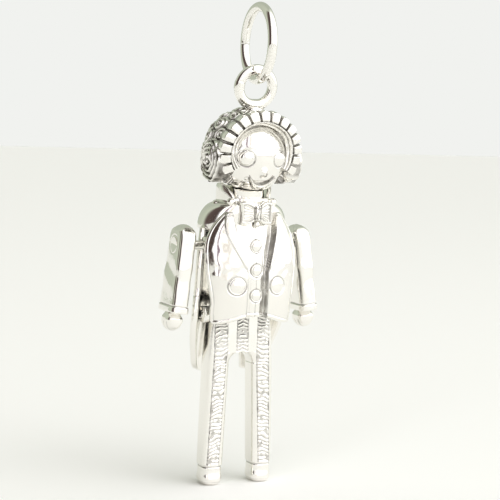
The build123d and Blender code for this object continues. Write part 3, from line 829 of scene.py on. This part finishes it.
class CHARM_OT_bow_tie(bpy.types.Operator):
    """Model the bow tie with its rims, pleats and knot"""

    bl_idname = "charm.bow_tie"
    bl_label = "Bow Tie"

    def execute(self, context):
        half_width, middle = 1.25, NECK_Z - 0.5
        front_reach, back_reach = 2.62, 1.95        # from the neck pin forward
        u = crowded_sides(150, 0.92)[None, :]
        v = crowded_sides(110, 0.92)[:, None]
        size = np.abs(u)
        half_height = 0.52 + 0.3 * ease(size, 0.02, 0.5) + 0.03 * np.cos(size * 9)
        x = half_width * u * (1 + 0.03 * v * v)
        z = middle + half_height * v - 0.05 * hump(u, 0.2) * (v < 0)
        edge = np.minimum(half_width * (1 - size), half_height * (1 - np.abs(v)))
        wing = ease(size, 0.13, 0.2)
        rim = ease(edge, 0.0, 0.06) * (1 - ease(edge, 0.17, 0.24))
        centre_line = hump(x - 0.12 * v - 0.03 * np.sin(6 * v), 0.05)
        pleats = np.sin(26 * v / (0.35 + size) + 4 * size) * wing * ease(edge, 0.2, 0.3)
        knot = (1 - wing) * hump(v, 0.75)
        proud = (
            0.10 * rim + 0.035 * pleats + 0.14 * knot - 0.10 * centre_line * (1 - knot * 0.3)
            - 0.14 * rounded(edge, 0.14) - 0.10 * hump(size - 0.17, 0.05)
        )
        # Painted shade and oxide darken the centre line, the hollows of the pleats, the line inside the
        # rim and the knot's sides.
        marks = np.clip(
            0.7 * centre_line + 0.45 * (0.5 - 0.5 * pleats) * wing * (edge > 0.2)
            + 0.5 * hump(edge - 0.22, 0.05) + 0.5 * hump(size - 0.17, 0.05), 0, 1
        )
        front = np.stack([x, NECK_Y - front_reach + 0.22 * size**2 - proud, z], -1)
        back = np.stack([x, NECK_Y - back_reach + 0.25 * size**2 + 0 * z, z], -1)
        body = slab(front, back, marks)
        point = turned(
            [(0.0, -0.02), (0.2, 0.0), (0.24, 0.1), (0.2, 0.22), (0.1, 0.3), (0.02, 0.33)],
            (0.03, NECK_Y - 2.35, middle - 0.78), (0, -0.8, -0.25), 40,
        )
        add_piece("bow_tie_cast", [body, point], "coat", ["bow_tie"], "polished")
        return {"FINISHED"}


class CHARM_OT_coat_back(bpy.types.Operator):
    """Cast the coat back in two halves that meet on its seam and part into two tails"""

    bl_idname = "charm.coat_back"
    bl_label = "Coat Back"

    def execute(self, context):
        bodies = [self.half(side) for side in (-1, 1)]
        for level, lug_x, reach in ((HIP_Z, 2.75, 0.95), (SHOULDER_Z, 2.8, 0.75)):
            for side in (-1, 1):
                bodies.append(self.ear(side * lug_x, level, reach))
        add_piece("coat_back_cast", bodies, "coat", ["coat_back"], "polished")
        return {"FINISHED"}

    def half(self, side):
        """Half of the back plate, with a waist seam and a side panel, and its tail below the vent."""
        tip, vent, waist_z, top = HIP_Z - 4.65, HIP_Z - 0.6, HIP_Z + 1.9, NECK_Z - 1.75
        half_gap, wall = 0.012, 0.5
        radius_at = plate_radius([(4.75, tip - 0.2), (4.20, HIP_Z + 0.6), (3.98, top)])
        width = smooth_line(
            [
                (tip, 2.6), (tip + 0.4, 2.95), (tip + 1.6, 3.35), (HIP_Z - 1.8, 3.66),
                (HIP_Z - 0.5, 3.85), (HIP_Z + 0.6, 3.78), (HIP_Z + 1.8, 3.6),
                (SHOULDER_Z - 1.6, 3.55), (top, 3.12),
            ]
        )
        up = np.linspace(0, 1, 200)[:, None]
        across = crowded_ends(90)[None, :]
        bottom = tip + 0.5 * (1 - bead(across - 0.45, 0.62))
        z = bottom + (top - bottom) * up
        joined = z > vent
        inner = half_gap + 1.1 * ease(vent - z, 0.0, 1.4) + 0.25 * ease(vent - z, 1.4, 4.0)
        span = width(z) - inner
        x = inner + span * across
        seam_edge = span * across
        edge = np.minimum(np.minimum(span * (1 - across), z - bottom), top - z + 0.3)
        edge = np.minimum(edge, seam_edge + 0.25 * joined)
        waist = hump(z - waist_z + 0.15 * x, 0.04) * ease(x, 0.05, 0.2)
        panel = hump(x - 1.55 - 0.12 * (z - HIP_Z), 0.035) * ease(z, waist_z, waist_z + 0.2)
        proud = (
            0.05 * bead(edge - 0.15, 0.12) * (edge < 0.3) - 0.18 * rounded(edge, 0.18)
            - 0.05 * waist - 0.04 * panel + 0.015 * ripple(x, z, 2.8, 1.9 + side)
            - 0.06 * hump(seam_edge, 0.04) * joined
        )
        # Painted shade and oxide darken the waist seam, the panel seam, the back seam and a line inside
        # the rim.
        marks = np.clip(
            0.5 * waist + 0.45 * panel + 0.5 * hump(seam_edge, 0.06) * joined
            + 0.3 * hump(edge - 0.3, 0.05), 0, 1
        )
        lean = np.arcsin(np.clip(x / radius_at(z), -1, 1))
        sheets = []
        for offset in (proud, 0.12 * rounded(edge, 0.12) - wall):
            radius = radius_at(z) + offset
            y = LIMB_Y - BACK_AXIS_FORWARD + radius * np.cos(lean)
            sheets.append(np.stack([side * radius * np.sin(lean), y, z], -1))
        return slab(*sheets, marks)

    def ear(self, x, z, reach):
        """Ear that carries a pin: a rounded tongue from the back plate."""
        turn = full_turn(64)
        radius = 0.65
        y = -radius * np.cos(turn)
        y = np.where(y > 0, y * (reach / radius), y)
        sections = ((-0.25, 0.86), (-0.2, 0.97), (-0.1, 1.0), (0.1, 1.0), (0.2, 0.97), (0.25, 0.86))
        rings = [
            np.stack(
                [x + along + 0 * turn, LIMB_Y + y * share, z + radius * np.sin(turn) * share], -1
            )
            for along, share in sections
        ]
        return loft(np.array(rings))


class CHARM_OT_yoke(bpy.types.Operator):
    """Cast the rounded shoulders with the collar and its cheeks, and finish the pins"""

    bl_idname = "charm.yoke"
    bl_label = "Yoke and Pins"

    def execute(self, context):
        self.shoulders()
        self.studs_and_heads()
        refinish("wire", "neck_pin", "shoulder_shaft", "hip_pin")
        return {"FINISHED"}

    def shoulders(self):
        """Bottle shape up to the collar, over its rim, and down its bore."""
        foot, rim, floor = NECK_Z - 1.75, NECK_Z + 0.55, NECK_Z - 1.3
        collar_height, bore = 0.42, 1.75
        turn = full_turn(150)
        rings, marks = [], []

        def add_ring(x, y, middle, z, mark):
            rings.append(np.stack([x, middle + y, z + 0 * turn], -1))
            marks.append(np.full(len(turn), float(mark)))

        # The marks lay painted shade and oxide at the collar's foot, on its rim and down its bore.
        for t in np.linspace(0, 1, 44):
            slope = math.sqrt(max(0.0, 1 - t**2.1))
            x, y = rounded_box_ring(2.12 + 1.33 * slope, 2.08 + 0.13 * slope, turn, 2.2)
            middle = LIMB_Y + (NECK_Y - LIMB_Y) * t
            add_ring(x, y, middle, foot + (rim - collar_height - foot) * t, 0.7 * hump(t - 1, 0.03))
        # The collar stands higher at its sides, where the pin passes through it.
        cheek = np.sqrt(np.clip(CHEEK_RADIUS**2 - (2.05 * np.sin(turn)) ** 2, 0, None))
        cheek_rise = np.maximum(0, cheek - (rim - NECK_Z))
        for radius, share, lift, mark in (
            (2.04, 0.0, 0.03, 0.5), (2.07, 0.2, 0, 0), (2.06, 0.6, 0, 0), (2.06, 0.85, 0, 0),
            (2.04, 1.0, 0, 0), (1.98, 1.0, 0.03, 0), (1.88, 1.0, 0.04, 0), (1.79, 1.0, 0.02, 0.1),
            (bore, 1.0, -0.05, 0.1),
        ):
            z = rim + cheek_rise * share - collar_height * (1 - share) + lift
            add_ring(radius * np.cos(turn), radius * np.sin(turn), NECK_Y, z, mark)
        add_ring(bore * np.cos(turn), bore * np.sin(turn), NECK_Y, floor, 0.3)
        body = loft(np.array(rings), np.array(marks))
        add_piece("shoulders", [body], "coat", ["shoulder_yoke"], "polished")

    def studs_and_heads(self):
        """Riveted heads on the neck pin, and a ball stud on each side of the bow."""
        lean, stud_rise, stud_reach = math.radians(48), 0.25, 2.05
        head = [(PIN_RADIUS, -0.5), (PIN_RADIUS, 0.0)]
        head += [(0.33 * math.cos(a), 0.05 + 0.26 * math.sin(a)) for a in np.linspace(0, 1.5, 12)]
        ball = 0.31
        stud = [(0.2, -0.3), (0.2, 0.0)]
        stud += [
            (ball * math.cos(a), 0.22 + ball * math.sin(a)) for a in np.linspace(-0.8, 1.5, 16)
        ]
        bodies = []
        for side in (-1, 1):
            bodies.append(turned(head, (side * PIN_HEAD_X, NECK_Y, NECK_Z), (side, 0, 0), 40))
            out = np.array([side * math.sin(lean), -math.cos(lean), 0.0])
            foot = np.array([0, NECK_Y, NECK_Z + stud_rise]) + stud_reach * out
            bodies.append(turned(stud, foot, out, 40))
        add_piece("collar_studs_and_pin_heads", bodies, "coat", [], "wire")


# ---- limbs ---------------------------------------------------------------------------------------
def rounded_box_ring(half_a, half_b, turn, power):
    """Superellipse: a rectangle with rounded corners."""
    c, s = np.cos(turn), np.sin(turn)
    reach = (np.abs(c) ** power + np.abs(s) ** power) ** (-1 / power)
    return half_a * reach * c, half_b * reach * s


class CHARM_OT_arms(bpy.types.Operator):
    """Cast the two sleeves with their cuffs, and the hands"""

    bl_idname = "charm.arms"
    bl_label = "Arms"

    def execute(self, context):
        splay = context.scene.charm_sizes.arm_splay
        for side, name in ((-1, "right"), (1, "left")):
            down = (side * math.sin(splay), 0, -math.cos(splay))
            out = (side * math.cos(splay), 0, math.sin(splay))
            origin = (side * ARM_X, LIMB_Y, SHOULDER_Z)
            self.sleeve(side, name, origin, out, down)
            self.hand(name, origin, out, down)
        return {"FINISHED"}

    def sleeve(self, side, name, origin, out, down):
        """Flat sleeve that widens to its cuff, with a stitched edge and a turned rivet seat."""
        crown, cuff, top, flare = 1.55, 4.95, 1.3, 0.25
        band_height, rivet_radius = 0.5, 0.69
        fall = np.concatenate([
            -crown + top * (1 - np.cos(np.linspace(0.03, 1, 50) * math.pi / 2)),
            np.linspace(top - crown, cuff, 190)[1:],
        ])[:, None]
        turn = full_turn(190)[None, :]
        depth = np.where(
            fall < top - crown,
            np.sqrt(np.clip(top**2 - (top - crown - fall) ** 2, 0, top**2)),
            top + flare * (fall + crown - top) / (cuff + crown - top),
        )
        half_thick = SLEEVE_HALF * np.sqrt(np.clip((fall + crown) / 0.5, 0.04, 1))
        end = 0.10 * rounded(cuff - fall, 0.10)
        y, x = rounded_box_ring(depth - end, half_thick - end, turn, 4.6)
        outer_face = ease(x, 0.3, 0.5)
        band = ease(fall, cuff - band_height - 0.02, cuff - band_height + 0.02)
        groove = hump(fall - cuff + band_height, 0.045)
        fold = np.sin(2.6 * fall + 1.6 * y) * hump(fall - 2.1, 1.2)
        stitch = hump(np.abs(y) - depth + 0.26, 0.035) * (1 - band)
        seat_line = hump(np.hypot(y, fall) - rivet_radius, 0.04) * outer_face
        proud = (
            0.05 * band - 0.06 * groove + 0.03 * fold - 0.02 * stitch
            + 0.01 * ripple(y + 3 * x, fall, 1.9, 0.9 + side)
        )
        # Painted shade and oxide darken the cuff's groove, the stitch line and the ring round the rivet
        # seat.
        marks = np.clip(0.7 * groove + 0.35 * stitch + 0.4 * seat_line, 0, 1)
        x = x * (1 + proud / 0.6) - 0.04 * seat_line
        y = y * (1 + proud / 1.6)
        rings = np.stack([x, y, fall + 0 * x], -1)
        body = loft(placed(rings, origin, out, (0, 1, 0), down), marks)
        add_piece(f"sleeve_{name}", [body], f"arm_{name}", [f"arm_{name}"], "polished")

    def hand(self, name, origin, out, down):
        """Mitten on a narrow wrist, with three lines for its fingers and a thumb."""
        wrist, tip = 4.9, 6.35
        share = np.linspace(0.0, 1, 90)[:, None]
        level = np.sin(share * math.pi / 2) ** 1.2
        turn = full_turn(140)[None, :]
        depth = 0.66 + 0.28 * ease(level, 0.08, 0.35)
        depth *= np.sqrt(np.clip(1 - np.clip((level - 0.45) / 0.55, 0, 1) ** 2.4, 0.001, 1))
        half_thick = 0.52 + 0.16 * ease(level, 0.05, 0.35)
        half_thick *= np.sqrt(np.clip(1 - np.clip((level - 0.4) / 0.6, 0, 1) ** 2.2, 0.001, 1))
        y, x = rounded_box_ring(depth, half_thick, turn, 2.4)
        fingers = sum(hump(y - spot, 0.05) for spot in (-0.42, 0.0, 0.42)) * ease(level, 0.45, 0.6)
        thumb = hump(y + 0.62, 0.22) * hump(level - 0.42, 0.2)
        # Painted shade and oxide darken the lines between the fingers and the wrist line.
        marks = np.clip(0.6 * fingers + 0.6 * hump(level - 0.02, 0.05), 0, 1)
        fall = wrist + (tip - wrist) * level
        rings = np.stack([x * (1 - 0.13 * fingers), y - 0.14 * thumb, fall + 0 * x], -1)
        body = loft(placed(rings, origin, out, (0, 1, 0), down), marks)
        add_piece(f"mitten_{name}", [body], f"arm_{name}", [f"hand_{name}"], "polished")


class CHARM_OT_legs(bpy.types.Operator):
    """Cast the trousers with their milled stripes, and the shoes"""

    bl_idname = "charm.legs"
    bl_label = "Legs"

    def execute(self, context):
        pitch = context.scene.charm_sizes.knurl_pitch / MM
        hem, crotch = SOLE + 1.5, SOLE + 10.0
        trousers = [self.trouser(side, hem, crotch, pitch) for side in (-1, 1)]
        shoes = [self.shoe(side, hem) for side in (-1, 1)]
        add_piece("trousers", trousers, "legs", ["legs"], "stripe")
        add_piece("shoe_caps", shoes, "legs", ["shoes"], "polished")
        return {"FINISHED"}

    def trouser(self, side, hem, crotch, pitch):
        """One leg and its half of the seat: flat before and behind, over an arched crotch."""
        top, top_radius, half_depth = HIP_Z + 0.93, 0.95, 0.925
        arch = 0.9
        width = smooth_line([(hem, 2.82), (SOLE + 6, 2.74), (crotch, 2.6), (HIP_Z, 2.34), (top, 2.2)])
        z = hem + (top - hem) * np.linspace(0, 1, 310)[:, None]
        across = crowded_ends(68)[None, :]
        straight = 0.93 + 0.27 * (crotch - arch - z) / (crotch - arch - hem)
        arched = 0.95 * np.sqrt(np.clip(1 - ((z - crotch + arch) / arch) ** 2, 0, 1))
        inner = np.where(z < crotch - arch, straight, np.where(z < crotch, arched, 0.0))
        span = width(z) - inner
        x = inner + span * across
        # Above the crotch the two halves meet, so only the outer edge is rounded there.
        inner_edge = np.where(z < crotch, span * across, 9.0)
        edge = np.minimum(span * (1 - across), inner_edge)
        rounded_top = np.sqrt(np.clip(top_radius**2 - (z - HIP_Z) ** 2, 0.02, 1))
        depth = np.minimum(np.where(z > HIP_Z, rounded_top, half_depth), half_depth)
        curve = 0.24 * (1 - np.clip(edge / 0.75, 0, 1)) ** 2
        softening = 0.2 * rounded(edge, 0.2) + 0.05 * rounded(z - hem, 0.05)
        band, lines = self.stripes(x, z, hem, crotch)
        sheets, marks = [], []
        for face, seed in ((-1, 0.0), (1, 2.1)):
            ticks = self.milling(x, z, pitch, seed)
            proud = -0.05 * band + 0.085 * band * ticks - 0.05 * lines
            reach = depth + proud * ease(edge, 0.05, 0.2) - curve - softening
            sheets.append(np.stack([side * x, LIMB_Y + face * reach, z + 0 * x], -1))
            # Painted shade and oxide darken the cuts between the milled ticks and the stripes' edge lines.
            marks.append(np.clip(0.55 * band * (1 - ticks) + 0.8 * lines, 0, 1))
        points, faces, _ = slab(sheets[0], sheets[1], marks[0])
        return points, faces, np.concatenate([marks[0].ravel(), marks[1].ravel()])

    def stripes(self, x, z, hem, crotch):
        """The milled bands, one down each leg and one up the middle of the seat, and their edge lines."""
        soft, line = 0.03, 0.035
        spread = np.where(z > crotch, 0, (crotch - z) / (crotch - hem))
        near = 1.22 + 0.42 * spread
        far = 2.24 + 0.32 * spread - 0.12 * ease(z, HIP_Z - 1, HIP_Z + 1)
        seat = 0.46
        stripe = ease(x, near - soft, near + soft) * (1 - ease(x, far - soft, far + soft))
        half_seat = np.where(z > crotch - 0.2, seat, 0.0)
        middle = 1 - ease(x, half_seat - soft, half_seat + soft)
        middle = middle * ease(z, crotch - 0.2, crotch + 0.2)
        lines = hump(x - near, line) + hump(x - far, line)
        lines = lines + hump(x - seat, line) * ease(z, crotch - 0.1, crotch + 0.3)
        return np.clip(stripe + middle, 0, 1), np.clip(lines, 0, 1)

    def milling(self, x, z, pitch, seed):
        """Wandering cuts across a stripe, worn away in patches: 1 on the metal left between them."""
        cut = math.tau * (z + 0.22 * x + 0.05 * np.sin(1.9 * z + seed)) / pitch
        wander = 0.9 * np.sin(4.1 * z + seed) + 1.3 * np.sin(5.5 * x + 1.7 * np.sin(2.3 * z))
        worn = ease(ripple(1.6 * x, z, 0.8, 1.1 + seed), -0.8, -0.1)
        return ease(np.sin(cut + wander), -0.75, 0.1) * worn

    def shoe(self, side, hem):
        """A plain rounded shoe, drawn in at the sole, with a welt line and a collar line."""
        middle_x, squareness = 2.01, 2.8
        z = SOLE + (hem + 0.02 - SOLE) * crowded_ends(70)[:, None]
        turn = full_turn(130)[None, :]
        height = (z - SOLE) / (hem - SOLE)
        base = np.sqrt(np.clip(1 - (1 - np.clip(height / 0.3, 0, 1)) ** 2.2, 0.12, 1))
        half_width = (0.8 + 0.05 * hump(height - 0.3, 0.3)) * (0.55 + 0.45 * base)
        half_depth = (0.92 + 0.09 * hump(height - 0.25, 0.3)) * (0.6 + 0.4 * base)
        x, y = rounded_box_ring(half_width, half_depth, turn, squareness)
        collar = hump(height - 0.93, 0.04)
        welt = hump(height - 0.16, 0.03)
        shrink = 1 - 0.03 * collar - 0.02 * welt
        rings = np.stack([side * middle_x + x * shrink, LIMB_Y + y * shrink, z + 0 * x], -1)
        # Painted shade and oxide darken the collar line and the welt line.
        return loft(rings, np.clip(0.7 * collar + 0.4 * welt, 0, 1) + 0 * x)


# ---- stage ---------------------------------------------------------------------------------------
# Round the tent from straight behind the charm, clockwise seen from above: a grey-green wall behind its
# right arm, an open dark doorway at its right with a violet curtain beside it, then white cloth in front
# and a softer white behind.
WALL_STOPS = (
    (0.00, "#8F9488"), (0.14, "#9DA294"), (0.20, "#4A3F3C"), (0.33, "#3A302D"), (0.355, "#FFFFFF"),
    (0.375, "#FFFFFF"), (0.385, "#75666F"), (0.397, "#75666F"), (0.407, "#FFFFFF"), (0.43, "#B9B4AC"),
    (0.455, "#FFFFFF"), (0.73, "#FFFFFF"), (0.79, "#C9CBC4"), (0.86, "#8F9488"), (1.0, "#8F9488"),
)


class CHARM_OT_stage(bpy.types.Operator):
    """Lay the pale floor, light the studio and stand the camera"""

    bl_idname = "charm.stage"
    bl_label = "Stage"

    def execute(self, context):
        view = context.scene.studio_view
        self.floor(view, reach=900)
        self.surround(strength=1.75)
        self.lamp("soft_box", place=(120, -150, 170), size=160, watts=0.12)
        self.camera(view)
        context.scene.view_settings.view_transform = "Standard"
        return {"FINISHED"}

    def camera(self, view):
        """Camera that looks at the middle of the hanging charm, which stands a little off its centre."""
        ring_top = 0.7
        middle = Vector((0.0, LIMB_Y - 0.6, (SOLE + ring_top) / 2)) * MM
        a, e = view.azimuth, view.elevation
        outward = Vector((math.sin(a) * math.cos(e), -math.cos(a) * math.cos(e), math.sin(e)))
        camera = bpy.data.objects.new("camera", bpy.data.cameras.new("camera"))
        bpy.context.scene.collection.objects.link(camera)
        camera.location = middle + outward * view.distance
        look = (-outward).to_track_quat("-Z", "Y")
        camera.rotation_mode = "QUATERNION"
        camera.rotation_quaternion = look @ Quaternion((0, 0, 1), view.roll)
        camera.data.lens = view.lens
        camera.data.sensor_width = 36
        camera.data.shift_x, camera.data.shift_y = 0.012, -0.008
        camera.data.clip_start, camera.data.clip_end = 0.005, 5
        camera.data.dof.use_dof = False
        bpy.context.scene.camera = camera

    def floor(self, view, reach):
        """Matt white paper: a plain sheet that runs out to the horizon."""
        paper = bpy.data.materials.new("matt white paper, calendered")
        paper.use_nodes = True
        shader = paper.node_tree.nodes["Principled BSDF"]
        shader.inputs["Base Color"].default_value = linear(view.floor)
        shader.inputs["Roughness"].default_value = 0.7
        half = reach * MM
        low = (SOLE - 0.03) * MM        # a hair's breadth under the soles
        mesh = bpy.data.meshes.new("floor")
        mesh.from_pydata(
            [(-half, -half, low), (half, -half, low), (half, half, low), (-half, half, low)],
            [], [(0, 1, 2, 3)],
        )
        mesh.materials.append(paper)
        sheet = bpy.data.objects.new("floor", mesh)
        bpy.context.scene.collection.objects.link(sheet)

    def surround(self, strength):
        """White tent round the charm, darker on one side so that the metal has something to mirror."""
        world = bpy.data.worlds.new("white light tent")
        bpy.context.scene.world = world
        world.use_nodes = True
        tree = world.node_tree
        tree.nodes.clear()
        place = add_node(tree, "ShaderNodeTexCoord").outputs["Generated"]
        turned_place = add_node(tree, "ShaderNodeMapping", {"Vector": place})
        turned_place.inputs["Rotation"].default_value = (0, 0, math.radians(90))
        sweep = add_node(
            tree, "ShaderNodeTexGradient", {"Vector": turned_place.outputs[0]},
            gradient_type="RADIAL",
        ).outputs["Color"]
        walls = add_node(tree, "ShaderNodeValToRGB", {"Fac": sweep})
        ramp = walls.color_ramp
        ramp.elements[0].color = linear(WALL_STOPS[0][1])
        ramp.elements[1].color = linear(WALL_STOPS[-1][1])
        for position, colour in WALL_STOPS[1:-1]:
            ramp.elements.new(position).color = linear(colour)
        plain = add_node(tree, "ShaderNodeBackground", in_Color=linear("#F1F2EF"), in_Strength=1.0)
        tent = add_node(
            tree, "ShaderNodeBackground", {"Color": walls.outputs["Color"]}, in_Strength=strength
        )
        seen = add_node(tree, "ShaderNodeLightPath").outputs["Is Camera Ray"]
        both = add_node(tree, "ShaderNodeMixShader", {0: seen, 1: tent.outputs[0], 2: plain.outputs[0]})
        add_node(tree, "ShaderNodeOutputWorld", {"Surface": both.outputs[0]})

    def lamp(self, name, place, size, watts):
        """Large soft lamp that points at the figure."""
        light = bpy.data.lights.new(name, "AREA")
        light.energy = watts
        light.size = size * MM
        lamp = bpy.data.objects.new(name, light)
        lamp.location = Vector(place) * MM
        target = Vector((0, 0, SOLE / 2 * MM))
        lamp.rotation_mode = "QUATERNION"
        lamp.rotation_quaternion = (target - lamp.location).to_track_quat("-Z", "Y")
        bpy.context.scene.collection.objects.link(lamp)


class CHARM_PT_panel(bpy.types.Panel):
    """Sizes, finish and view, with a button for each group of pieces"""

    bl_label = "Silver Dummy Charm"
    bl_idname = "CHARM_PT_panel"
    bl_space_type = "VIEW_3D"
    bl_region_type = "UI"
    bl_category = "Charm"

    def draw(self, context):
        for group in ("charm_sizes", "silver_finish", "studio_view"):
            settings = getattr(context.scene, group)
            column = self.layout.column(align=True)
            for name in settings.bl_rna.properties.keys():
                if name not in ("name", "rna_type"):
                    column.prop(settings, name)
        for operator in OPERATORS:
            self.layout.operator(operator.bl_idname)


OPERATORS = (
    CHARM_OT_rings, CHARM_OT_face, CHARM_OT_hair, CHARM_OT_coat_front, CHARM_OT_bow_tie,
    CHARM_OT_coat_back, CHARM_OT_yoke, CHARM_OT_arms, CHARM_OT_legs, CHARM_OT_stage,
)
GROUPS = {"charm_sizes": CharmSizes, "silver_finish": SilverFinish, "studio_view": StudioView}


def register():
    for cls in (*GROUPS.values(), *OPERATORS, CHARM_PT_panel):
        bpy.utils.register_class(cls)
    for name, group in GROUPS.items():
        setattr(bpy.types.Scene, name, bpy.props.PointerProperty(type=group))


def unregister():
    for name in GROUPS:
        delattr(bpy.types.Scene, name)
    for cls in (CHARM_PT_panel, *reversed(OPERATORS), *reversed(list(GROUPS.values()))):
        bpy.utils.unregister_class(cls)


def main():
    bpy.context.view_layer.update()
    register()
    bpy.ops.charm.rings()
    bpy.ops.charm.face()
    bpy.ops.charm.hair()
    bpy.ops.charm.coat_front()
    bpy.ops.charm.bow_tie()
    bpy.ops.charm.coat_back()
    bpy.ops.charm.yoke()
    bpy.ops.charm.arms()
    bpy.ops.charm.legs()
    bpy.ops.charm.stage()


if __name__ == "__main__":
    main()
